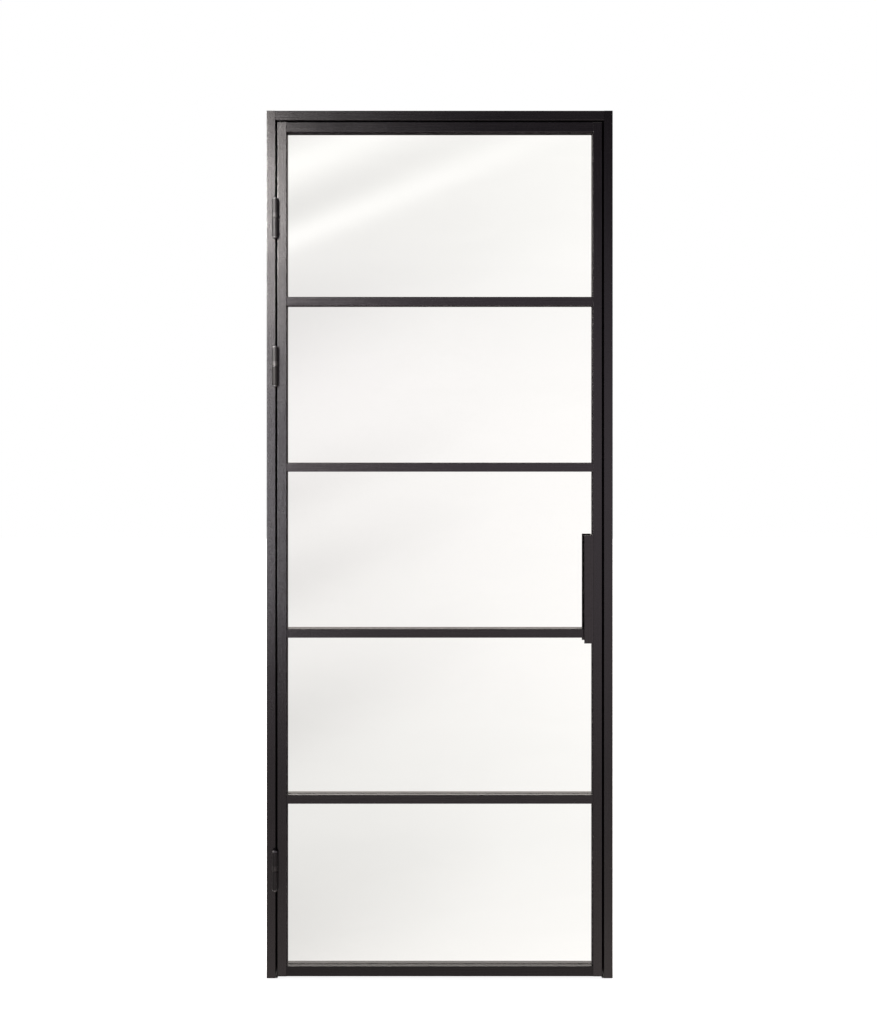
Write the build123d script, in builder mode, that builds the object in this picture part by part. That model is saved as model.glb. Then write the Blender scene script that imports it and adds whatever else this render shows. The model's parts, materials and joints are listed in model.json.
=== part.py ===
from build123d import *
import os

os.makedirs("parts", exist_ok=True)

# ---------------------------------------------------------------------------
# Slim steel-look glass door with its frame. Millimetres, +Z up, seen from -Y.
# Origin: on the floor, middle of the width, middle of the depth.
# ---------------------------------------------------------------------------

# leaf
leaf_w = 880.0            # over the stiles
leaf_bottom = 5.0         # gap to the floor
leaf_top = 2320.0
stile_face = 25.0         # seen widths of the profiles
rail_face = 27.0
bar_face = 24.0
leaf_d = 40.0             # leaf thickness
wall = 2.0                # profile wall
edge_r = 1.2              # rounded long edges of the profiles
bar_z = (1822.5, 1372.5, 922.5, 472.5)   # underside of each glazing bar, top bar first

# glazing
groove_w = 10.0           # glazing groove across the thickness
groove_d = 8.0            # glazing groove depth
glass_t = 6.0
bite = 6.0                # glass edge inside the groove
bead = 0.4                # gasket lip standing out of the groove

# frame
jamb_face = 24.0
head_face = 26.0
gap = 5.0                 # leaf to frame, sides and top
frame_back = 36.5
head_under = leaf_top + gap
frame_h = head_under + head_face
jamb_in = leaf_w / 2 + gap
jamb_out = jamb_in + jamb_face
frame_front = -leaf_d / 2
frame_d = frame_back - frame_front
frame_yc = (frame_back + frame_front) / 2

# stops and seals
stop_w = 22.0
stop_front = 24.0
stop_in = jamb_in - stop_w
seal_off = 9.5            # seal groove centre from the frame's inner face
seal_groove = 4.0

# wall fixings in the jambs
fix_y = 2.0
fix_z = (150.0, 780.0, 1450.0, 2200.0)
fix_r = 3.25
fix_head_r = 5.2

# hinges
hinge_x = -445.5
hinge_y = -28.4
barrel_r = 7.8
collar_r = 8.1
pin_r = 4.5
pin_run = 0.06            # running clearance in the leaf half
hinge_len = 112.0         # over the end caps
low_len = 55.5            # lower end to the top of the lower barrel
joint_gap = 0.5
collar_h = 13.5
cap_h = 5.5               # domed end caps
cap_r = 7.2
plug_r = 3.0              # plug of a cap in its barrel
plug_h = 4.0
hinge_z = {"top": 2003.0, "middle": 1602.0, "bottom": 238.0}   # lower end of each hinge
plate_t = 3.0
plate_back = 15.0         # how far back the plates reach

# handles
handle_z0, handle_z1 = 909.0, 1201.0
handle_in, handle_out = 390.6, 415.0
handle_t = 3.0
handle_proud = 12.0

# catch
catch_x, catch_z = 427.5, 1054.0

# derived
stile_in = leaf_w / 2 - stile_face                       # inner face of the stiles
open_w = 2 * stile_in
rail_top_z = leaf_top - rail_face
rail_bot_z = leaf_bottom + rail_face
# middle height of the rails and bars, bottom first
member_zc = [leaf_bottom + rail_face / 2] + [z + bar_face / 2 for z in sorted(bar_z)] + [rail_top_z + rail_face / 2]
screw_y = (leaf_d + groove_w) / 4                  # middle of each lip: 12.5
port_r = 5.6


def x_plane(x, y, z, sign):
    """Plane on a face at x whose normal points along sign * X."""
    return Plane(origin=(x, y, z), x_dir=(0, 1, 0), z_dir=(sign, 0, 0))


def y_plane(x, y, z, sign):
    return Plane(origin=(x, y, z), x_dir=(1, 0, 0), z_dir=(0, sign, 0))


def z_plane(x, y, z, sign):
    return Plane(origin=(x, y, z), x_dir=(1, 0, 0), z_dir=(0, 0, sign))


def save(piece, label):
    piece.label = label
    export_step(piece, "parts/" + label + ".step")


def csk_screws(planes, r, head_r, length, sunk=0.1):
    """Countersunk screws, head in the plane's face, shank along the plane's -Z, hex socket in the head."""
    with BuildPart() as screws:
        for pl in planes:
            with BuildSketch(Plane(origin=pl.origin, x_dir=pl.x_dir, z_dir=-pl.y_dir)):
                with BuildLine():
                    Polyline(
                        (0, -sunk),
                        (head_r - sunk, -sunk),
                        (r, -(head_r - r)),
                        (r, -length + 0.6),
                        (r - 0.6, -length),
                        (0, -length),
                        close=True,
                    )
                make_face()
            # local Y of the profile plane runs along the screw's axis
            revolve(axis=Axis(pl.origin, pl.z_dir), revolution_arc=360)
        with BuildSketch(*[pl.offset(-sunk) for pl in planes]):
            RegularPolygon(radius=r * 0.62, side_count=6)
        extrude(amount=-r * 0.75, mode=Mode.SUBTRACT)
    return screws.part


# ---------------------------------------------------------------------------
# frame
# ---------------------------------------------------------------------------
corner_screw_y = (-8.0, 24.0)
corner_screw_z = head_under + head_face / 2
stop_screw_y = 32.0
stop_screw_z = (110.0, 620.0, 1130.0, 1640.0, 2150.0)
stop_screw_x = (-330.0, -110.0, 110.0, 330.0)

hinge_plate_y = (-11.0, 9.0, -1.0)          # screw rows of a hinge plate
frame_plate_z = (13.0, 13.0, 41.0)          # above the lower end of the hinge
leaf_plate_z = (78.0, 78.0, 99.0)

for sign, name in ((-1, "hinge_jamb"), (1, "lock_jamb")):
    xc = sign * (jamb_in + jamb_face / 2)
    with BuildPart() as jamb:
        with BuildSketch(Plane.XY):
            with Locations((xc, frame_yc)):
                RectangleRounded(jamb_face, frame_d, edge_r)
                Rectangle(jamb_face - 2 * wall, frame_d - 2 * wall, mode=Mode.SUBTRACT)
        extrude(amount=frame_h)
        # wall fixings: countersunk inside, plain through the wall side
        with Locations(*[x_plane(sign * jamb_in, fix_y, z, -sign) for z in fix_z]):
            CounterSinkHole(radius=fix_r, counter_sink_radius=fix_head_r, depth=jamb_face + 1, counter_sink_angle=90)
        # head screws, countersunk on the wall side
        with Locations(*[x_plane(sign * jamb_out, y, corner_screw_z, sign) for y in corner_screw_y]):
            CounterSinkHole(radius=2.1, counter_sink_radius=4.0, depth=jamb_face + 1, counter_sink_angle=90)
        # stop screws
        with Locations(*[x_plane(sign * jamb_in, stop_screw_y, z, -sign) for z in stop_screw_z]):
            Hole(radius=2.1, depth=4.0)
        if sign < 0:
            pts = [
                x_plane(-jamb_in, y, z0 + dz, 1)
                for z0 in hinge_z.values()
                for y, dz in zip(hinge_plate_y, frame_plate_z)
            ]
            with Locations(*pts):
                Hole(radius=2.1, depth=4.0)
    save(jamb.part, name)

with BuildPart() as frame_head:
    with BuildSketch(Plane.YZ.offset(-jamb_in)):
        with Locations((frame_yc, head_under + head_face / 2)):
            RectangleRounded(frame_d, head_face, edge_r)
            Rectangle(frame_d - 2 * wall, head_face - 2 * wall, mode=Mode.SUBTRACT)
        with Locations(*[(y, corner_screw_z) for y in corner_screw_y]):
            Rectangle(3.0, head_face - wall)
            Circle(4.5)
        with Locations(*[(y, corner_screw_z) for y in corner_screw_y]):
            Circle(2.1, mode=Mode.SUBTRACT)
    extrude(amount=2 * jamb_in)
    with Locations(*[z_plane(x, stop_screw_y, head_under, -1) for x in stop_screw_x]):
        Hole(radius=2.1, depth=4.0)
save(frame_head.part, "frame_head")

planes = [x_plane(s * jamb_out, y, corner_screw_z, s) for s in (-1, 1) for y in corner_screw_y]
save(csk_screws(planes, 2.0, 4.0, 48.0), "frame_corner_screws")

# stops: flat bars with a seal groove in the face towards the leaf
for sign, name in ((-1, "hinge_side_stop"), (1, "lock_side_stop")):
    with BuildPart() as stop:
        with BuildSketch(Plane.XY):
            with Locations((sign * (jamb_in + stop_in) / 2, (stop_front + frame_back) / 2)):
                Rectangle(stop_w, frame_back - stop_front)
            with Locations((sign * (jamb_in - seal_off), stop_front + seal_groove / 2)):
                Rectangle(seal_groove, seal_groove, mode=Mode.SUBTRACT)
        extrude(amount=head_under)
        inner = stop.edges().filter_by(Axis.Z).group_by(Axis.X)[-1 if sign < 0 else 0]
        fillet(inner, 1.0)
        with Locations(*[x_plane(sign * stop_in, stop_screw_y, z, -sign) for z in stop_screw_z]):
            CounterSinkHole(radius=2.1, counter_sink_radius=4.0, depth=stop_w + 1, counter_sink_angle=90)
        if sign > 0:
            with Locations(y_plane(catch_x, stop_front, catch_z, -1)):
                Hole(radius=3.52, depth=5.0)
    save(stop.part, name)

with BuildPart() as head_stop:
    with BuildSketch(Plane.YZ.offset(-stop_in)):
        with Locations(((stop_front + frame_back) / 2, head_under - stop_w / 2)):
            Rectangle(frame_back - stop_front, stop_w)
        with Locations((stop_front + seal_groove / 2, head_under - seal_off)):
            Rectangle(seal_groove, seal_groove, mode=Mode.SUBTRACT)
    extrude(amount=2 * stop_in)
    low = head_stop.edges().filter_by(Axis.X).group_by(Axis.Z)[0]
    fillet(low, 1.0)
    with Locations(*[z_plane(x, stop_screw_y, head_under - stop_w, -1) for x in stop_screw_x]):
        CounterSinkHole(radius=2.1, counter_sink_radius=4.0, depth=stop_w + 1, counter_sink_angle=90)
save(head_stop.part, "head_stop")

planes = [x_plane(s * stop_in, stop_screw_y, z, -s) for s in (-1, 1) for z in stop_screw_z]
planes += [z_plane(x, stop_screw_y, head_under - stop_w, -1) for x in stop_screw_x]
save(csk_screws(planes, 2.0, 4.0, 30.0), "stop_screws")

# seals: a barbed foot in the groove and a hollow bulb just clear of the closed leaf
bulb_top = leaf_d / 2 + 0.35
for sign, name in ((-1, "hinge_side_seal"), (1, "lock_side_seal")):
    with BuildPart() as seal:
        with BuildSketch(Plane.XY.offset(1.0)):
            with Locations((sign * (jamb_in - seal_off), stop_front + 1.9)):
                Rectangle(seal_groove - 0.2, 3.8)
            with Locations((sign * (jamb_in - seal_off), (bulb_top + stop_front) / 2)):
                SlotOverall(6.4, stop_front - bulb_top)
                SlotOverall(4.4, stop_front - bulb_top - 1.8, mode=Mode.SUBTRACT)
        extrude(amount=head_under - 2.0)
    save(seal.part, name)

with BuildPart() as head_seal:
    with BuildSketch(Plane.YZ.offset(-stop_in + 0.5)):
        with Locations((stop_front + 1.9, head_under - seal_off)):
            Rectangle(3.8, seal_groove - 0.2)
        with Locations(((bulb_top + stop_front) / 2, head_under - seal_off)):
            SlotOverall(6.4, stop_front - bulb_top, rotation=90)
            SlotOverall(4.4, stop_front - bulb_top - 1.8, rotation=90, mode=Mode.SUBTRACT)
    extrude(amount=2 * stop_in - 1.0)
save(head_seal.part, "head_seal")

with BuildPart() as catch_magnet:
    with BuildSketch(Plane.XZ.offset(-(stop_front + 5.0))):
        with Locations((catch_x, catch_z)):
            Circle(3.5)
    extrude(amount=6.6)
    chamfer(catch_magnet.faces().sort_by(Axis.Y)[0].edges(), 0.4)
save(catch_magnet.part, "catch_magnet")

# ---------------------------------------------------------------------------
# hinges
# ---------------------------------------------------------------------------
frame_planes, leaf_planes = [], []
for place, z0 in hinge_z.items():
    frame_pl = [x_plane(-jamb_in + plate_t, y, z0 + dz, 1) for y, dz in zip(hinge_plate_y, frame_plate_z)]
    leaf_pl = [x_plane(-leaf_w / 2 - plate_t, y, z0 + dz, -1) for y, dz in zip(hinge_plate_y, leaf_plate_z)]
    frame_planes += frame_pl
    leaf_planes += leaf_pl
    z_low = z0 + cap_h                       # underside of the lower barrel
    z_mid = z0 + low_len                     # top of the lower barrel
    z_ring = z_mid + joint_gap
    z_up = z_ring + collar_h                 # underside of the upper barrel
    z_end = z0 + hinge_len - cap_h           # top of the upper barrel

    with BuildPart() as frame_half:
        with BuildSketch(Plane.XY.offset(z_low)):
            with Locations((hinge_x, hinge_y)):
                Circle(barrel_r)
        extrude(amount=z_mid - z_low)
        chamfer(frame_half.faces().sort_by(Axis.Z)[0].edges(), 0.8)
        chamfer(frame_half.faces().sort_by(Axis.Z)[-1].edges(), 0.8)
        with BuildSketch(Plane.XY.offset(z_low + 1.0)):
            with Locations((-jamb_in + plate_t / 2, (hinge_y + plate_back) / 2)):
                Rectangle(plate_t, plate_back - hinge_y)
        extrude(amount=z_mid - z_low - 2.0)
        tips = frame_half.edges().filter_by(Axis.X).group_by(Axis.Y)[-1]
        fillet(tips, 4.0)
        with Locations(z_plane(hinge_x, hinge_y, z_mid, 1)):
            Hole(radius=pin_r + 0.02, depth=z_mid - z_low - 6.0)
        with Locations(z_plane(hinge_x, hinge_y, z_low, -1)):
            Hole(radius=plug_r + 0.02, depth=plug_h + 0.3)
        with Locations(*frame_pl):
            CounterSinkHole(radius=2.1, counter_sink_radius=4.0, depth=plate_t + 1, counter_sink_angle=90)
    save(frame_half.part, place + "_hinge_frame_half")

    with BuildPart() as leaf_half:
        with BuildSketch(Plane.XY.offset(z_up)):
            with Locations((hinge_x, hinge_y)):
                Circle(barrel_r)
        extrude(amount=z_end - z_up)
        chamfer(leaf_half.faces().sort_by(Axis.Z)[-1].edges(), 0.8)
        chamfer(leaf_half.faces().sort_by(Axis.Z)[0].edges(), 0.3)
        with BuildSketch(Plane.XY.offset(z_up + 1.0)):
            with Locations((-leaf_w / 2 - plate_t / 2, (hinge_y + plate_back) / 2)):
                Rectangle(plate_t, plate_back - hinge_y)
        extrude(amount=z_end - z_up - 2.0)
        tips = leaf_half.edges().filter_by(Axis.X).group_by(Axis.Y)[-1]
        fillet(tips, 4.0)
        with Locations(z_plane(hinge_x, hinge_y, z_up, -1)):
            Hole(radius=pin_r + pin_run, depth=30.0)
        with Locations(z_plane(hinge_x, hinge_y, z_end, 1)):
            Hole(radius=plug_r + 0.02, depth=plug_h + 0.3)
        with Locations(*leaf_pl):
            CounterSinkHole(radius=2.1, counter_sink_radius=4.0, depth=plate_t + 1, counter_sink_angle=90)
    save(leaf_half.part, place + "_hinge_leaf_half")

    with BuildPart() as collar:
        with BuildSketch(Plane.XY.offset(z_ring)):
            with Locations((hinge_x, hinge_y)):
                Circle(collar_r)
                Circle(pin_r + pin_run, mode=Mode.SUBTRACT)
        extrude(amount=collar_h)
        rims = collar.edges().filter_by(GeomType.CIRCLE).group_by(SortBy.RADIUS)[-1].sort_by(Axis.Z)
        chamfer(rims[0], 1.2)
        chamfer(collar.edges().filter_by(GeomType.CIRCLE).sort_by(Axis.Z)[-2:].sort_by(SortBy.RADIUS)[-1], 0.5)
    save(collar.part, place + "_hinge_collar")

    with BuildPart() as pin:
        with BuildSketch(Plane.XY.offset(z_low + 7.0)):
            with Locations((hinge_x, hinge_y)):
                Circle(pin_r)
        extrude(amount=z_up + 28.0 - z_low - 7.0)
        chamfer(pin.faces().sort_by(Axis.Z)[-1].edges(), 1.0)
    save(pin.part, place + "_hinge_pin")

# domed end caps: under the lower barrels, on the upper barrels
for up, name in ((-1, "hinge_frame_caps"), (1, "hinge_leaf_caps")):
    with BuildPart() as caps:
        for z0 in hinge_z.values():
            z_seat = z0 + cap_h if up < 0 else z0 + hinge_len - cap_h
            with BuildSketch(Plane(origin=(hinge_x, hinge_y, z_seat), x_dir=(1, 0, 0), z_dir=(0, -1, 0))):
                with BuildLine():
                    Polyline(
                        (0, up * cap_h),
                        (0, -up * plug_h),
                        (plug_r - 0.4, -up * plug_h),
                        (plug_r, -up * (plug_h - 0.4)),
                        (plug_r, 0),
                        (cap_r - 0.8, 0),
                        (cap_r, up * 0.8),
                        (cap_r, up * 1.4),
                    )
                    Bezier((cap_r, up * 1.4), (cap_r, up * 3.9), (cap_r - 2.6, up * cap_h), (2.2, up * cap_h))
                    Line((2.2, up * cap_h), (0, up * cap_h))
                make_face()
            revolve(axis=Axis((hinge_x, hinge_y, z_seat), (0, 0, 1)), revolution_arc=360)
    save(caps.part, name)

save(csk_screws(frame_planes, 2.0, 4.0, 12.0), "hinge_frame_screws")
save(csk_screws(leaf_planes, 2.0, 4.0, 12.0), "hinge_leaf_screws")

# ---------------------------------------------------------------------------
# leaf
# ---------------------------------------------------------------------------
cap_t = 2.0
stile_z0, stile_z1 = leaf_bottom + cap_t, leaf_top - cap_t
handle_screw_z = (985.0, 1076.0, 1167.0)
keeper_screw_z = (catch_z - 12.0, catch_z + 12.0)

for sign, name in ((-1, "hinge_stile"), (1, "lock_stile")):
    xc = sign * (leaf_w / 2 - stile_face / 2)
    with BuildPart() as stile:
        with BuildSketch(Plane.XY.offset(stile_z0)):
            with Locations((xc, 0)):
                RectangleRounded(stile_face, leaf_d, edge_r)
                Rectangle(stile_face - 2 * wall, leaf_d - 2 * wall, mode=Mode.SUBTRACT)
            # walls of the glazing groove, then the groove itself
            with Locations((sign * (stile_in + (groove_d + wall) / 2), 0)):
                Rectangle(groove_d + wall, groove_w + 2 * wall)
            with Locations((sign * (stile_in + groove_d / 2), 0)):
                Rectangle(groove_d, groove_w, mode=Mode.SUBTRACT)
        extrude(amount=stile_z1 - stile_z0)
        # screws into the rails and bars
        pts = [x_plane(sign * leaf_w / 2, y, z, sign) for z in member_zc for y in (-screw_y, screw_y)]
        with Locations(*pts):
            CounterSinkHole(radius=2.1, counter_sink_radius=4.0, depth=stile_face + 1, counter_sink_angle=90)
        if sign < 0:
            pts = [
                x_plane(-leaf_w / 2, y, z0 + dz, -1)
                for z0 in hinge_z.values()
                for y, dz in zip(hinge_plate_y, leaf_plate_z)
            ]
            with Locations(*pts):
                Hole(radius=2.1, depth=4.0)
        else:
            pts = [x_plane(stile_in, y, z, -1) for z in handle_screw_z for y in (-screw_y, screw_y)]
            with Locations(*pts):
                Hole(radius=2.1, depth=4.0)
            with Locations(*[y_plane(catch_x, leaf_d / 2, z, 1) for z in keeper_screw_z]):
                Hole(radius=1.6, depth=4.0)
    save(stile.part, name)

with BuildPart() as stile_end_caps:
    for sign in (-1, 1):
        xc = sign * (leaf_w / 2 - stile_face / 2)
        for z0, z1 in ((leaf_bottom, stile_z0), (stile_z1, leaf_top)):
            with BuildSketch(Plane.XY.offset(z0)):
                with Locations((xc, 0)):
                    RectangleRounded(stile_face, leaf_d, edge_r)
            extrude(amount=z1 - z0)
            # plug that sits inside the hollow, behind the groove
            zp = z1 if z0 < 100 else z0 - 6.0
            with BuildSketch(Plane.XY.offset(zp)):
                with Locations((sign * (leaf_w / 2 - wall - 5.6), 0)):
                    Rectangle(10.8, leaf_d - 2 * wall - 0.4)
            extrude(amount=6.0)
save(stile_end_caps.part, "stile_end_caps")

# rails: one groove, towards the glass
for z0, up, name in ((rail_top_z, -1, "top_rail"), (leaf_bottom, 1, "bottom_rail")):
    zc = z0 + rail_face / 2
    z_in = z0 if up < 0 else z0 + rail_face
    with BuildPart() as rail:
        with BuildSketch(Plane.YZ.offset(-stile_in)):
            with Locations((0, zc)):
                RectangleRounded(leaf_d, rail_face, edge_r)
                Rectangle(leaf_d - 2 * wall, rail_face - 2 * wall, mode=Mode.SUBTRACT)
            with Locations((0, z_in - up * (groove_d + wall) / 2)):
                Rectangle(groove_w + 2 * wall, groove_d + wall)
            with Locations((0, z_in - up * groove_d / 2)):
                Rectangle(groove_w, groove_d, mode=Mode.SUBTRACT)
            with Locations((-screw_y, zc), (screw_y, zc)):
                Circle(port_r)
            with Locations((-screw_y, zc), (screw_y, zc)):
                Circle(2.1, mode=Mode.SUBTRACT)
        extrude(amount=open_w)
    save(rail.part, name)

# glazing bars: a groove above and below
for i, z0 in enumerate(bar_z, 1):
    zc = z0 + bar_face / 2
    with BuildPart() as bar:
        with BuildSketch(Plane.YZ.offset(-stile_in)):
            with Locations((0, zc)):
                RectangleRounded(leaf_d, bar_face, edge_r)
                Rectangle(leaf_d - 2 * wall, bar_face - 2 * wall, mode=Mode.SUBTRACT)
            with Locations((0, z0 + (groove_d + wall) / 2), (0, z0 + bar_face - (groove_d + wall) / 2)):
                Rectangle(groove_w + 2 * wall, groove_d + wall)
            with Locations((0, z0 + groove_d / 2), (0, z0 + bar_face - groove_d / 2)):
                Rectangle(groove_w, groove_d, mode=Mode.SUBTRACT)
            with Locations((-screw_y, zc), (screw_y, zc)):
                Circle(port_r)
            with Locations((-screw_y, zc), (screw_y, zc)):
                Circle(2.1, mode=Mode.SUBTRACT)
        extrude(amount=open_w)
    save(bar.part, "glazing_bar_%d" % i)

# panes and their gaskets, top pane first
tops = [rail_top_z] + list(bar_z)
bottoms = [z + bar_face for z in bar_z] + [rail_bot_z]
for i, (z1, z0) in enumerate(zip(tops, bottoms), 1):
    zc = (z0 + z1) / 2
    w, h = open_w + 2 * bite, z1 - z0 + 2 * bite
    with BuildPart() as pane:
        with BuildSketch(Plane.XZ.offset(-glass_t / 2)):
            with Locations((0, zc)):
                Rectangle(w, h)
        extrude(amount=glass_t)
        chamfer(pane.faces().filter_by(Axis.Y).edges(), 0.6)
    save(pane.part, "pane_%d" % i)
    with BuildPart() as gasket:
        with BuildSketch(Plane.XZ.offset(-groove_w / 2)):
            with Locations((0, zc)):
                Rectangle(open_w + 2 * groove_d, z1 - z0 + 2 * groove_d)
                Rectangle(open_w - 2 * bead, z1 - z0 - 2 * bead, mode=Mode.SUBTRACT)
        extrude(amount=groove_w)
        with BuildSketch(Plane.XZ.offset(-glass_t / 2)):
            with Locations((0, zc)):
                Rectangle(w, h)
        extrude(amount=glass_t, mode=Mode.SUBTRACT)
    save(gasket.part, "pane_gasket_%d" % i)

planes = [x_plane(-leaf_w / 2, y, z, -1) for z in member_zc for y in (-screw_y, screw_y)]
save(csk_screws(planes, 2.0, 4.0, 48.0), "hinge_stile_screws")
planes = [x_plane(leaf_w / 2, y, z, 1) for z in member_zc for y in (-screw_y, screw_y)]
save(csk_screws(planes, 2.0, 4.0, 48.0), "lock_stile_screws")

# keeper for the magnet, on the back of the lock stile
with BuildPart() as keeper_plate:
    with BuildSketch(Plane.XZ.offset(-leaf_d / 2 - 2.0)):
        with Locations((catch_x - 0.5, catch_z)):
            RectangleRounded(8.0, 38.0, 2.0)
    extrude(amount=2.0)
    with Locations(*[y_plane(catch_x, leaf_d / 2 + 2.0, z, 1) for z in keeper_screw_z]):
        CounterSinkHole(radius=1.6, counter_sink_radius=3.0, depth=3.0, counter_sink_angle=90)
save(keeper_plate.part, "keeper_plate")
planes = [y_plane(catch_x, leaf_d / 2 + 2.0, z, 1) for z in keeper_screw_z]
save(csk_screws(planes, 1.5, 3.0, 9.0), "keeper_screws")

# pull handles: steel angles, one leg on the reveal of the lock stile, notched over glazing bar 3
notch_z0, notch_z1 = bar_z[2] - 1.0, bar_z[2] + bar_face + 1.0
for sign, name in ((-1, "front_handle"), (1, "rear_handle")):
    y_front = sign * (leaf_d / 2 + handle_proud)
    y_leg = sign * (groove_w / 2 + 1.0)
    y_step = sign * (leaf_d / 2 + 0.2)
    with BuildPart() as handle:
        with BuildSketch(Plane.XY.offset(handle_z0)):
            with Locations(((handle_in + handle_out) / 2, y_front - sign * handle_t / 2)):
                Rectangle(handle_out - handle_in, handle_t)
            with Locations((handle_out - handle_t / 2, (y_front + y_leg) / 2)):
                Rectangle(handle_t, abs(y_front - y_leg))
        extrude(amount=handle_z1 - handle_z0)
        fillet(handle.edges().filter_by(Axis.Z), 0.7)
        with BuildSketch(Plane.XY.offset(notch_z0)):
            with Locations((handle_out - handle_t / 2, (y_step + y_leg) / 2)):
                Rectangle(handle_t + 2.0, abs(y_step - y_leg) + 0.02)
        extrude(amount=notch_z1 - notch_z0, mode=Mode.SUBTRACT)
        with Locations(*[x_plane(handle_out - handle_t, sign * screw_y, z, -1) for z in handle_screw_z]):
            CounterSinkHole(radius=2.1, counter_sink_radius=4.0, depth=handle_t + 1, counter_sink_angle=90)
    save(handle.part, name)

planes = [x_plane(handle_out - handle_t, s * screw_y, z, -1) for s in (-1, 1) for z in handle_screw_z]
save(csk_screws(planes, 2.0, 4.0, 12.0), "handle_screws")
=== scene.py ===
import bpy
import json
import math
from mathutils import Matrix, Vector

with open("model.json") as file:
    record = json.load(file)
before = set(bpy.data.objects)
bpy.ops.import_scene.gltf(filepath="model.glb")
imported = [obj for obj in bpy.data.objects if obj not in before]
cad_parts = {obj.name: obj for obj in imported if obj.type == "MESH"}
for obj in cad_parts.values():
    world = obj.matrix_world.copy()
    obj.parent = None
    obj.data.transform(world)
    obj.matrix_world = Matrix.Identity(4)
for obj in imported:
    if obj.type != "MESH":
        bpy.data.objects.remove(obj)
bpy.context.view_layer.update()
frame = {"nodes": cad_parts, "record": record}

scene = bpy.context.scene
nodes_cad = frame["nodes"]

# ---------------------------------------------------------------------------
# small helpers for node materials
# ---------------------------------------------------------------------------


def new_material(name):
    mat = bpy.data.materials.new(name)
    mat.use_nodes = True
    nt = mat.node_tree
    nt.nodes.clear()
    out = nt.nodes.new("ShaderNodeOutputMaterial")
    bsdf = nt.nodes.new("ShaderNodeBsdfPrincipled")
    nt.links.new(bsdf.outputs["BSDF"], out.inputs["Surface"])
    return mat, nt, bsdf


def coords(nt, scale=(1, 1, 1), loc=(0, 0, 0)):
    """Row-frame coordinates in metres, because every CAD object sits at the origin."""
    tc = nt.nodes.new("ShaderNodeTexCoord")
    mp = nt.nodes.new("ShaderNodeMapping")
    mp.inputs["Scale"].default_value = scale
    mp.inputs["Location"].default_value = loc
    nt.links.new(tc.outputs["Object"], mp.inputs["Vector"])
    return mp.outputs["Vector"]


def noise(nt, vec, scale, detail=3.0, rough=0.55, distortion=0.0):
    n = nt.nodes.new("ShaderNodeTexNoise")
    n.inputs["Scale"].default_value = scale
    n.inputs["Detail"].default_value = detail
    n.inputs["Roughness"].default_value = rough
    n.inputs["Distortion"].default_value = distortion
    nt.links.new(vec, n.inputs["Vector"])
    return n.outputs["Fac"]


def voronoi(nt, vec, scale, feature="F1", out="Distance"):
    n = nt.nodes.new("ShaderNodeTexVoronoi")
    n.feature = feature
    n.inputs["Scale"].default_value = scale
    nt.links.new(vec, n.inputs["Vector"])
    return n.outputs[out]


def ramp(nt, fac, stops):
    r = nt.nodes.new("ShaderNodeValToRGB")
    els = r.color_ramp.elements
    while len(els) < len(stops):
        els.new(0.5)
    for e, (p, c) in zip(els, stops):
        e.position = p
        e.color = c if len(c) == 4 else (*c, 1.0)
    nt.links.new(fac, r.inputs["Fac"])
    return r.outputs["Color"]


def to_range(nt, fac, lo, hi, a=0.0, b=1.0):
    m = nt.nodes.new("ShaderNodeMapRange")
    m.inputs["From Min"].default_value = a
    m.inputs["From Max"].default_value = b
    m.inputs["To Min"].default_value = lo
    m.inputs["To Max"].default_value = hi
    nt.links.new(fac, m.inputs["Value"])
    return m.outputs["Result"]


def math_node(nt, op, a, b=None):
    m = nt.nodes.new("ShaderNodeMath")
    m.operation = op
    for sock, v in zip(m.inputs, (a, b)):
        if v is None:
            continue
        if isinstance(v, (int, float)):
            sock.default_value = v
        else:
            nt.links.new(v, sock)
    return m.outputs["Value"]


def mix_rgb(nt, fac, a, b, blend="MIX"):
    m = nt.nodes.new("ShaderNodeMix")
    m.data_type = "RGBA"
    m.blend_type = blend
    for name, v in (("Factor", fac), ("A", a), ("B", b)):
        sock = [s for s in m.inputs if s.name == name and s.enabled and (name == "Factor" and s.type == "VALUE" or s.type == "RGBA")][0]
        if isinstance(v, (int, float)):
            sock.default_value = v
        elif isinstance(v, tuple):
            sock.default_value = v if len(v) == 4 else (*v, 1.0)
        else:
            nt.links.new(v, sock)
    return [s for s in m.outputs if s.type == "RGBA"][0]


def bump(nt, height, strength, distance, normal=None):
    b = nt.nodes.new("ShaderNodeBump")
    b.inputs["Strength"].default_value = strength
    b.inputs["Distance"].default_value = distance
    nt.links.new(height, b.inputs["Height"])
    if normal is not None:
        nt.links.new(normal, b.inputs["Normal"])
    return b.outputs["Normal"]


# ---------------------------------------------------------------------------
# materials
# ---------------------------------------------------------------------------


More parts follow.
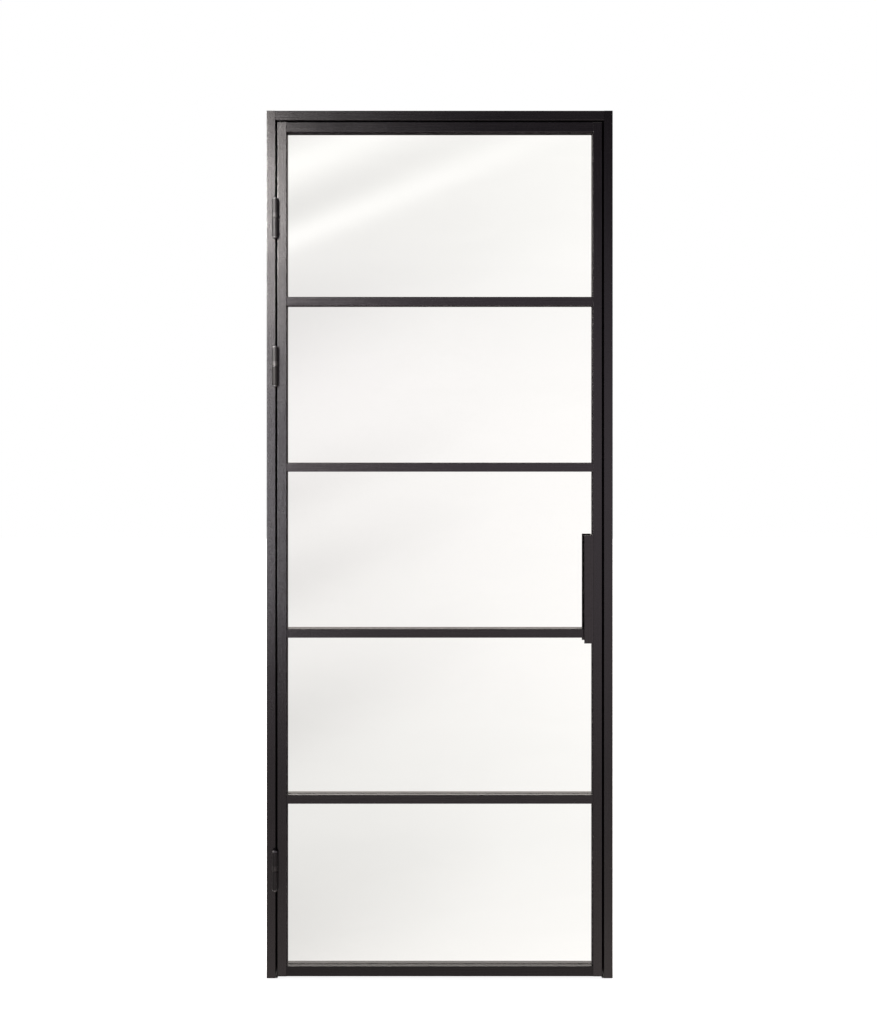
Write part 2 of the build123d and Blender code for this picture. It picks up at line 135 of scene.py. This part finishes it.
def powder_coat(name, dark, light, rough, along, peel=1.0, loc=(0, 0, 0), spec=0.5, reveal_painted_light=0.0, mottle=0.08):
    """Satin black powder coat on drawn steel: orange peel, fine grain, and faint draw lines along the profile.

    along is "Z" for uprights and "X" for cross members: the lines run that way and the gloss spreads across them.
    reveal is a painted lightening on the sides that face the panes, standing in for light that reaches them.
    """
    mat, nt, bsdf = new_material(name)
    v = coords(nt, loc=loc)
    stretch = (900.0, 900.0, 9.0) if along == "Z" else (9.0, 900.0, 900.0)
    lines = noise(nt, coords(nt, scale=stretch, loc=loc), 1.0, 3.0, 0.55)
    cloud = noise(nt, v, 6.0, 4.0, 0.6)
    peel_n = noise(nt, v, 520.0, 2.0, 0.45)
    grain = noise(nt, v, 2100.0, 3.0, 0.6)
    flake = voronoi(nt, v, 1500.0)
    # colour: nearly black, with lighter grains and draw lines
    tone = math_node(nt, "ADD", math_node(nt, "MULTIPLY", grain, 0.45), math_node(nt, "MULTIPLY", cloud, 0.25))
    tone = math_node(nt, "ADD", tone, math_node(nt, "MULTIPLY", lines, 0.30))
    col = ramp(nt, tone, [(0.34, dark), (0.60, light), (0.78, tuple(c * 1.8 for c in light))])
    # uneven powder: patches of a few millimetres
    patch = noise(nt, v, 150.0, 2.0, 0.5)
    col = mix_rgb(nt, 1.0, col, to_range(nt, patch, 1.0 - 2.1 * mottle, 1.0 + 2.1 * mottle, 0.25, 0.75), "MULTIPLY")
    r1 = to_range(nt, cloud, rough - 0.025, rough + 0.025, 0.25, 0.75)
    r2 = to_range(nt, grain, -0.035, 0.035, 0.3, 0.7)
    r3 = to_range(nt, lines, -0.03, 0.03, 0.3, 0.7)
    # thinner, rougher coat on the sides that face along X, which the spray reached last
    tc = nt.nodes.new("ShaderNodeTexCoord")
    sep = nt.nodes.new("ShaderNodeSeparateXYZ")
    nt.links.new(tc.outputs["Normal"], sep.inputs["Vector"])
    sides = math_node(nt, "POWER", math_node(nt, "ABSOLUTE", sep.outputs["X"]), 6.0)
    r4 = math_node(nt, "MULTIPLY", sides, 0.35)
    # painted light: the sides of the stiles that face the panes are made a lighter grey, standing in for light reaching
    # them
    if reveal_painted_light > 0.0:
        place = nt.nodes.new("ShaderNodeSeparateXYZ")
        nt.links.new(v, place.inputs["Vector"])
        off = math_node(nt, "ABSOLUTE", math_node(nt, "SUBTRACT", place.outputs["X"], loc[0]))
        painted_light_reveal_mask = math_node(nt, "MULTIPLY", sides, to_range(nt, off, 1.0, 0.0, 0.424, 0.428))
        col = mix_rgb(nt, painted_light_reveal_mask, col, mix_rgb(nt, 1.0, col, (reveal_painted_light, reveal_painted_light * 0.94, reveal_painted_light * 0.97), "ADD"))
    nt.links.new(col, bsdf.inputs["Base Color"])
    nt.links.new(math_node(nt, "ADD", math_node(nt, "ADD", math_node(nt, "ADD", r1, r2), r3), r4), bsdf.inputs["Roughness"])
    n0 = bump(nt, lines, 0.10 * peel, 0.00025)
    n1 = bump(nt, peel_n, 0.12 * peel, 0.0004, n0)
    n2 = bump(nt, grain, 0.08 * peel, 0.00012, n1)
    n3 = bump(nt, flake, 0.04 * peel, 0.0001, n2)
    nt.links.new(n3, bsdf.inputs["Normal"])
    tan = nt.nodes.new("ShaderNodeTangent")
    tan.direction_type = "RADIAL"
    tan.axis = along
    nt.links.new(tan.outputs["Tangent"], bsdf.inputs["Tangent"])
    bsdf.inputs["Anisotropic"].default_value = 0.25
    bsdf.inputs["IOR"].default_value = 1.5
    bsdf.inputs["Specular IOR Level"].default_value = spec
    return mat


def rubber(name, dark, light, loc=(0, 0, 0)):
    mat, nt, bsdf = new_material(name)
    v = coords(nt, loc=loc)
    a = noise(nt, v, 1300.0, 4.0, 0.65)
    b = noise(nt, v, 30.0, 3.0)
    nt.links.new(ramp(nt, math_node(nt, "ADD", math_node(nt, "MULTIPLY", a, 0.5), math_node(nt, "MULTIPLY", b, 0.5)), [(0.35, dark), (0.7, light)]), bsdf.inputs["Base Color"])
    nt.links.new(to_range(nt, b, 0.30, 0.44, 0.3, 0.7), bsdf.inputs["Roughness"])
    nt.links.new(bump(nt, a, 0.2, 0.0002), bsdf.inputs["Normal"])
    bsdf.inputs["IOR"].default_value = 1.45
    return mat


def turned_steel(name, dark, light, rough, axis_scale, metallic=1.0, line=0.15, loc=(0, 0, 0)):
    """Steel with fine lathe or grinding lines across axis_scale's long direction, and faint stains."""
    mat, nt, bsdf = new_material(name)
    v = coords(nt, scale=axis_scale, loc=loc)
    lines = noise(nt, v, 1.0, 5.0, 0.65)
    w = coords(nt, loc=loc)
    stain = noise(nt, w, 90.0, 4.0, 0.6)
    f = math_node(nt, "ADD", math_node(nt, "MULTIPLY", lines, 0.6), math_node(nt, "MULTIPLY", stain, 0.4))
    nt.links.new(ramp(nt, f, [(0.3, dark), (0.72, light)]), bsdf.inputs["Base Color"])
    nt.links.new(to_range(nt, stain, rough - 0.08, rough + 0.08, 0.3, 0.7), bsdf.inputs["Roughness"])
    nt.links.new(bump(nt, lines, line, 0.00015), bsdf.inputs["Normal"])
    bsdf.inputs["Metallic"].default_value = metallic
    return mat


def moulded_plastic(name, dark, light):
    mat, nt, bsdf = new_material(name)
    v = coords(nt)
    g = voronoi(nt, v, 1100.0)
    c = noise(nt, v, 40.0, 3.0)
    nt.links.new(ramp(nt, c, [(0.35, dark), (0.7, light)]), bsdf.inputs["Base Color"])
    nt.links.new(to_range(nt, c, 0.5, 0.62, 0.3, 0.7), bsdf.inputs["Roughness"])
    nt.links.new(bump(nt, g, 0.25, 0.00018), bsdf.inputs["Normal"])
    bsdf.inputs["IOR"].default_value = 1.48
    return mat


def float_glass(name):
    """Clear float glass with a very faint haze where it was wiped."""
    mat, nt, bsdf = new_material(name)
    v = coords(nt, scale=(1.0, 1.0, 2.6))
    wipe = noise(nt, v, 3.2, 5.0, 0.62, 0.8)
    fine = noise(nt, v, 60.0, 3.0, 0.6)
    f = math_node(nt, "ADD", math_node(nt, "MULTIPLY", wipe, 0.8), math_node(nt, "MULTIPLY", fine, 0.2))
    nt.links.new(ramp(nt, f, [(0.3, (0.955, 0.957, 0.950)), (0.7, (0.975, 0.976, 0.970))]), bsdf.inputs["Base Color"])
    nt.links.new(to_range(nt, f, 0.0, 0.012, 0.4, 0.8), bsdf.inputs["Roughness"])
    bsdf.inputs["Transmission Weight"].default_value = 1.0
    bsdf.inputs["IOR"].default_value = 1.52
    return mat


BLACK_LO, BLACK_HI = (0.0086, 0.0075, 0.0088), (0.0160, 0.0140, 0.0164)


# scales a coat's colours, used to make lighter and darker copies of the same black coat as painted light and shade
def painted_light_scale(colour, factor):
    return tuple(c * factor for c in colour)


MATS = {
    "frame_paint": powder_coat("frame_powder_coat", BLACK_LO, BLACK_HI, 0.245, "Z"),
    "frame_paint_cross": powder_coat("frame_head_powder_coat", BLACK_LO, BLACK_HI, 0.255, "X", loc=(0.21, 0.35, 0.77)),
    "leaf_paint": powder_coat("leaf_powder_coat", BLACK_LO, BLACK_HI, 0.250, "Z", loc=(0.37, 0.11, 0.53), reveal_painted_light=0.055),
    "leaf_paint_cross": powder_coat("leaf_bar_powder_coat", BLACK_LO, BLACK_HI, 0.250, "X", loc=(0.83, 0.27, 0.11)),
    # painted light and shade: the upper bars get a lighter copy of the black coat, and the lower bars and bottom rail
    # get darker copies, standing in for how light falls on them
    "leaf_paint_upper": powder_coat("leaf_upper_bar_powder_coat", painted_light_scale(BLACK_LO, 2.5), painted_light_scale(BLACK_HI, 2.5), 0.250, "X", loc=(0.29, 0.61, 0.41)),
    "leaf_paint_lower": powder_coat("leaf_lower_bar_powder_coat", painted_light_scale(BLACK_LO, 0.95), painted_light_scale(BLACK_HI, 0.95), 0.255, "X", loc=(0.47, 0.15, 0.92), spec=0.49),
    "leaf_paint_foot": powder_coat("leaf_bottom_rail_powder_coat", painted_light_scale(BLACK_LO, 0.6), painted_light_scale(BLACK_HI, 0.6), 0.275, "X", loc=(0.66, 0.43, 0.24), spec=0.27),
    # painted light: the handle's coat is a lighter copy of the black powder coat, standing in for the light its proud
    # face catches
    "handle_paint": powder_coat("handle_powder_coat", (0.0206, 0.0185, 0.0197), (0.0357, 0.0322, 0.0341), 0.30, "Z", 0.9, loc=(1.1, 0.7, 0.2), mottle=0.10),
    "hinge_paint": powder_coat("hinge_enamel", (0.0100, 0.0096, 0.0100), (0.0190, 0.0182, 0.0188), 0.56, "Z", 0.7, loc=(2.1, 0.3, 0.9)),
    "collar_steel": turned_steel("collar_steel", (0.070, 0.069, 0.069), (0.120, 0.118, 0.118), 0.60, (40.0, 40.0, 2600.0)),
    "hinge_cap_steel": turned_steel("hinge_cap_steel", (0.15, 0.15, 0.152), (0.25, 0.25, 0.254), 0.44, (60.0, 60.0, 2200.0), line=0.08),
    "pin_steel": turned_steel("pin_steel", (0.42, 0.42, 0.43), (0.60, 0.60, 0.61), 0.26, (60.0, 60.0, 3000.0)),
    "dark_screw_steel": turned_steel("black_oxide_screw", (0.030, 0.030, 0.032), (0.075, 0.075, 0.079), 0.42, (700.0, 700.0, 700.0), 0.9),
    "magnet_nickel": turned_steel("nickel_plate", (0.52, 0.50, 0.46), (0.68, 0.66, 0.62), 0.22, (900.0, 120.0, 900.0)),
    "keeper_zinc": turned_steel("zinc_plate", (0.34, 0.35, 0.36), (0.55, 0.55, 0.54), 0.36, (300.0, 300.0, 40.0)),
    "clear_glass": float_glass("clear_float_glass"),
    # painted light: the glazing gasket is black rubber given a grey colour, standing in for light on the gasket row
    # between ledge and glass
    "glazing_rubber": rubber("glazing_rubber", (0.085, 0.081, 0.077), (0.140, 0.133, 0.127)),
    "seal_rubber": rubber("seal_rubber", (0.012, 0.012, 0.012), (0.026, 0.025, 0.025), loc=(0.4, 0.9, 0.1)),
    "cap_plastic": moulded_plastic("cap_plastic", (0.012, 0.012, 0.012), (0.022, 0.022, 0.022)),
}

slot_of = {s["node"]: s["material_slot"] for s in frame["record"]["subparts"]}
# the upper bars, lower bars and bottom rail take the painted lighter and darker copies of the leaf coat
coat_of = {"frame_head": "_cross", "head_stop": "_cross", "top_rail": "_cross", "glazing_bar_1": "_upper", "glazing_bar_2": "_upper",
           "glazing_bar_3": "_lower", "glazing_bar_4": "_lower", "bottom_rail": "_foot"}
for name, obj in nodes_cad.items():
    mat = MATS[slot_of[name] + coat_of.get(name, "")]
    if not obj.material_slots:
        obj.data.materials.append(mat)
    for s in obj.material_slots:
        s.material = mat

# ---------------------------------------------------------------------------
# studio: pale floor, bright backdrop, soft lights
# ---------------------------------------------------------------------------
floor_mesh = bpy.data.meshes.new("studio_floor")
half = 14.0
floor_mesh.from_pydata([(-half, -half, 0), (half, -half, 0), (half, half, 0), (-half, half, 0)], [], [(0, 1, 2, 3)])
floor = bpy.data.objects.new("studio_floor", floor_mesh)
scene.collection.objects.link(floor)
mat, nt, bsdf = new_material("pale_floor")
v = coords(nt)
nt.links.new(ramp(nt, noise(nt, v, 2.0, 3.0), [(0.3, (0.38, 0.38, 0.377)), (0.7, (0.42, 0.42, 0.417))]), bsdf.inputs["Base Color"])
bsdf.inputs["Roughness"].default_value = 0.9
bsdf.inputs["Specular IOR Level"].default_value = 0.0
bsdf.inputs["Emission Color"].default_value = (1.0, 1.0, 1.0, 1.0)
# the floor is bright all over, except in the narrow slots beside the leaf where no light gets in
sep = nt.nodes.new("ShaderNodeSeparateXYZ")
nt.links.new(v, sep.inputs["Vector"])
off = math_node(nt, "ABSOLUTE", math_node(nt, "SUBTRACT", math_node(nt, "ABSOLUTE", sep.outputs["X"]), 0.4425))
in_x = to_range(nt, off, 1.0, 0.0, 0.0025, 0.0035)
in_y = math_node(nt, "MULTIPLY", to_range(nt, sep.outputs["Y"], 0.0, 1.0, -0.021, -0.016), to_range(nt, sep.outputs["Y"], 1.0, 0.0, 0.022, 0.026))
open_floor = math_node(nt, "SUBTRACT", 1.0, math_node(nt, "MULTIPLY", in_x, in_y))
nt.links.new(math_node(nt, "MULTIPLY", open_floor, 0.92), bsdf.inputs["Emission Strength"])
floor.data.materials.append(mat)
floor.visible_glossy = False
floor.visible_diffuse = False
floor.visible_transmission = False

world = bpy.data.worlds.new("studio")
scene.world = world
world.use_nodes = True
wt = world.node_tree
wt.nodes.clear()
w_out = wt.nodes.new("ShaderNodeOutputWorld")
w_tc = wt.nodes.new("ShaderNodeTexCoord")
w_sep = wt.nodes.new("ShaderNodeSeparateXYZ")
wt.links.new(w_tc.outputs["Generated"], w_sep.inputs["Vector"])
wx, wy, wz = w_sep.outputs["X"], w_sep.outputs["Y"], w_sep.outputs["Z"]
lp = wt.nodes.new("ShaderNodeLightPath")

# what the surfaces mirror: in front a dim room with a pale floor, behind a bright ceiling over a dark floor
depth = math_node(wt, "ADD", math_node(wt, "ABSOLUTE", wy), 0.02)
px = math_node(wt, "DIVIDE", wx, depth)
pz = math_node(wt, "DIVIDE", wz, depth)


def bell(at, width, value):
    """Soft peak of height 1 where value is at."""
    t = math_node(wt, "DIVIDE", math_node(wt, "SUBTRACT", value, at), width)
    return math_node(wt, "EXPONENT", math_node(wt, "MULTIPLY", math_node(wt, "MULTIPLY", t, t), -1.0))


front = ramp(wt, to_range(wt, wz, 0.0, 1.0, -0.42, 0.26), [
    (0.00, (1.30, 1.30, 1.30)), (0.08, (0.66, 0.66, 0.66)), (0.16, (0.26, 0.26, 0.26)), (0.25, (0.42, 0.42, 0.42)),
    (0.36, (0.84, 0.84, 0.84)), (0.50, (0.97, 0.97, 0.97)), (0.62, (0.88, 0.88, 0.88)), (0.75, (0.52, 0.52, 0.52)),
    (0.86, (0.17, 0.17, 0.17)), (1.00, (0.05, 0.05, 0.05))])
glow = math_node(wt, "MULTIPLY", bell(0.04, 0.09, wz), to_range(wt, px, 0.55, 0.15, -0.10, 0.13))
front = math_node(wt, "ADD", front, glow)
# a little lighter low on the right
low_right = math_node(wt, "MULTIPLY", to_range(wt, px, 0.0, 0.32, -0.02, 0.16), to_range(wt, wz, 1.0, 0.0, -0.20, 0.0))
front = math_node(wt, "MULTIPLY", front, math_node(wt, "ADD", low_right, 1.0))
# dimmer towards the sides of the room
front = math_node(wt, "MULTIPLY", front, to_range(wt, math_node(wt, "ABSOLUTE", px), 1.0, 0.25, 0.24, 0.55))
behind = to_range(wt, wz, 0.01, 1.25, 0.05, 0.15)
behind = math_node(wt, "ADD", behind, to_range(wt, wz, 0.0, 1.6, 0.16, 0.45))
# a soft fill for the back of the door, which the panes keep off the reveals on the front
no_pane = math_node(wt, "LESS_THAN", lp.outputs["Transmission Depth"], 0.5)
fill = to_range(wt, wz, 0.62, 0.30, -0.45, 0.15)
behind = math_node(wt, "ADD", behind, math_node(wt, "MULTIPLY", fill, no_pane))
side_y = to_range(wt, wy, 0.0, 1.0, -0.25, 0.25)
room = math_node(wt, "ADD", math_node(wt, "MULTIPLY", behind, side_y), math_node(wt, "MULTIPLY", front, math_node(wt, "SUBTRACT", 1.0, side_y)))
bg_room = wt.nodes.new("ShaderNodeBackground")
# warm light low down, cool light high up
front_tint = ramp(wt, to_range(wt, wz, 0.0, 1.0, -0.42, 0.26), [
    (0.00, (1.0, 0.870, 0.830)), (0.36, (1.0, 0.865, 0.930)), (0.62, (1.0, 0.865, 0.965)), (0.90, (0.94, 0.810, 1.0))])
wt.links.new(mix_rgb(wt, side_y, front_tint, (1.0, 0.93, 0.88)), bg_room.inputs["Color"])
wt.links.new(room, bg_room.inputs["Strength"])

# what shows through the panes: a soft pale backdrop, brighter to the right, with slanting folds of shade top left
slant = math_node(wt, "SUBTRACT", pz, math_node(wt, "MULTIPLY", px, 0.40))
fade_long = to_range(wt, px, 1.0, 0.0, -0.12, 0.13)
fade_short = to_range(wt, px, 1.0, 0.0, -0.12, 0.05)
soft = math_node(wt, "ADD", to_range(wt, px, 0.915, 1.035, -0.12, 0.11), to_range(wt, pz, 0.0, 0.045, 0.098, 0.135))
for at, width, shade, fade in (
    (0.252, 0.016, -0.170, fade_long),
    (0.219, 0.013, 0.065, fade_long),
    (0.196, 0.011, -0.165, fade_long),
    (0.134, 0.045, 0.095, fade_long),
    (0.000, 0.022, 0.075, fade_short),
    (-0.070, 0.024, 0.095, fade_short),
    (-0.176, 0.034, 0.100, fade_short),
    (-0.340, 0.055, 0.115, fade_short),
):
    fold = math_node(wt, "MULTIPLY", math_node(wt, "MULTIPLY", bell(at, width, slant), shade), fade)
    soft = math_node(wt, "SUBTRACT", soft, fold)
bg_glass = wt.nodes.new("ShaderNodeBackground")
bg_glass.inputs["Color"].default_value = (1.0, 0.991, 0.968, 1.0)
wt.links.new(soft, bg_glass.inputs["Strength"])

bg_plain = wt.nodes.new("ShaderNodeBackground")
bg_plain.inputs["Color"].default_value = (1.0, 1.0, 1.0, 1.0)
bg_plain.inputs["Strength"].default_value = 1.0

mix1 = wt.nodes.new("ShaderNodeMixShader")
# only looking straight through the panes: what a surface mirrors through a pane is the room
straight = math_node(wt, "LESS_THAN", math_node(wt, "ADD", lp.outputs["Glossy Depth"], lp.outputs["Diffuse Depth"]), 0.5)
wt.links.new(math_node(wt, "MULTIPLY", lp.outputs["Is Transmission Ray"], straight), mix1.inputs["Fac"])
wt.links.new(bg_room.outputs["Background"], mix1.inputs[1])
wt.links.new(bg_glass.outputs["Background"], mix1.inputs[2])
mix2 = wt.nodes.new("ShaderNodeMixShader")
wt.links.new(lp.outputs["Is Camera Ray"], mix2.inputs["Fac"])
wt.links.new(mix1.outputs["Shader"], mix2.inputs[1])
wt.links.new(bg_plain.outputs["Background"], mix2.inputs[2])
wt.links.new(mix2.outputs["Shader"], w_out.inputs["Surface"])


def softbox(name, loc, target, size_x, size_y, power, color=(1, 1, 1), spread=180.0):
    light = bpy.data.lights.new(name, "AREA")
    light.shape = "RECTANGLE"
    light.spread = math.radians(spread)
    light.size = size_x
    light.size_y = size_y
    light.energy = power
    light.color = color
    o = bpy.data.objects.new(name, light)
    scene.collection.objects.link(o)
    o.location = loc
    d = Vector(target) - Vector(loc)
    o.rotation_mode = "QUATERNION"
    o.rotation_quaternion = d.to_track_quat("-Z", "Y")
    o.visible_camera = False
    o.visible_transmission = False
    o.visible_diffuse = False
    return o


lamps = [
    softbox("key", (-1.98, -3.474, 2.80), (-0.924, -0.02, 1.95), 0.525, 0.353, 22.3, (1.0, 0.935, 0.905), 38.0),
    softbox("window_left", (-1.555, -1.983, 1.600), (-0.70, -0.02, 1.746), 1.03, 1.80, 6.9, (0.99, 0.975, 1.0), 40.0),
]
# flagged off the panes, where the lamps would show as hard rectangles, off the far jamb, and the lower one off the middle hinge
for lamp, shaded in zip(lamps, (("lock_jamb",), ("lock_jamb", "middle_hinge_frame_half"))):
    flagged = bpy.data.collections.new("flagged_from_" + lamp.name)
    for name, obj in nodes_cad.items():
        if slot_of[name] == "clear_glass" or name in shaded:
            flagged.objects.link(obj)
    for member in flagged.collection_objects:
        member.light_linking.link_state = "EXCLUDE"
    lamp.light_linking.receiver_collection = flagged

# ---------------------------------------------------------------------------
# camera: level, lens shifted so that the uprights stay parallel
# ---------------------------------------------------------------------------
cam_data = bpy.data.cameras.new("camera")
cam = bpy.data.objects.new("camera", cam_data)
scene.collection.objects.link(cam)
cam.location = (0.0, -3.44, 1.481)
cam.rotation_euler = (math.radians(90), 0, 0)
cam_data.sensor_width = 36.0
cam_data.sensor_fit = "AUTO"
cam_data.lens = 1262.2 / 1024.0 * 36.0
cam_data.shift_x = -1.2 / 1024.0
cam_data.shift_y = -80.3 / 1024.0
cam_data.clip_start = 0.05
cam_data.clip_end = 100.0
scene.camera = cam

scene.view_settings.view_transform = "Standard"
scene.view_settings.look = "None"
scene.view_settings.exposure = 0.0
scene.view_settings.gamma = 1.0
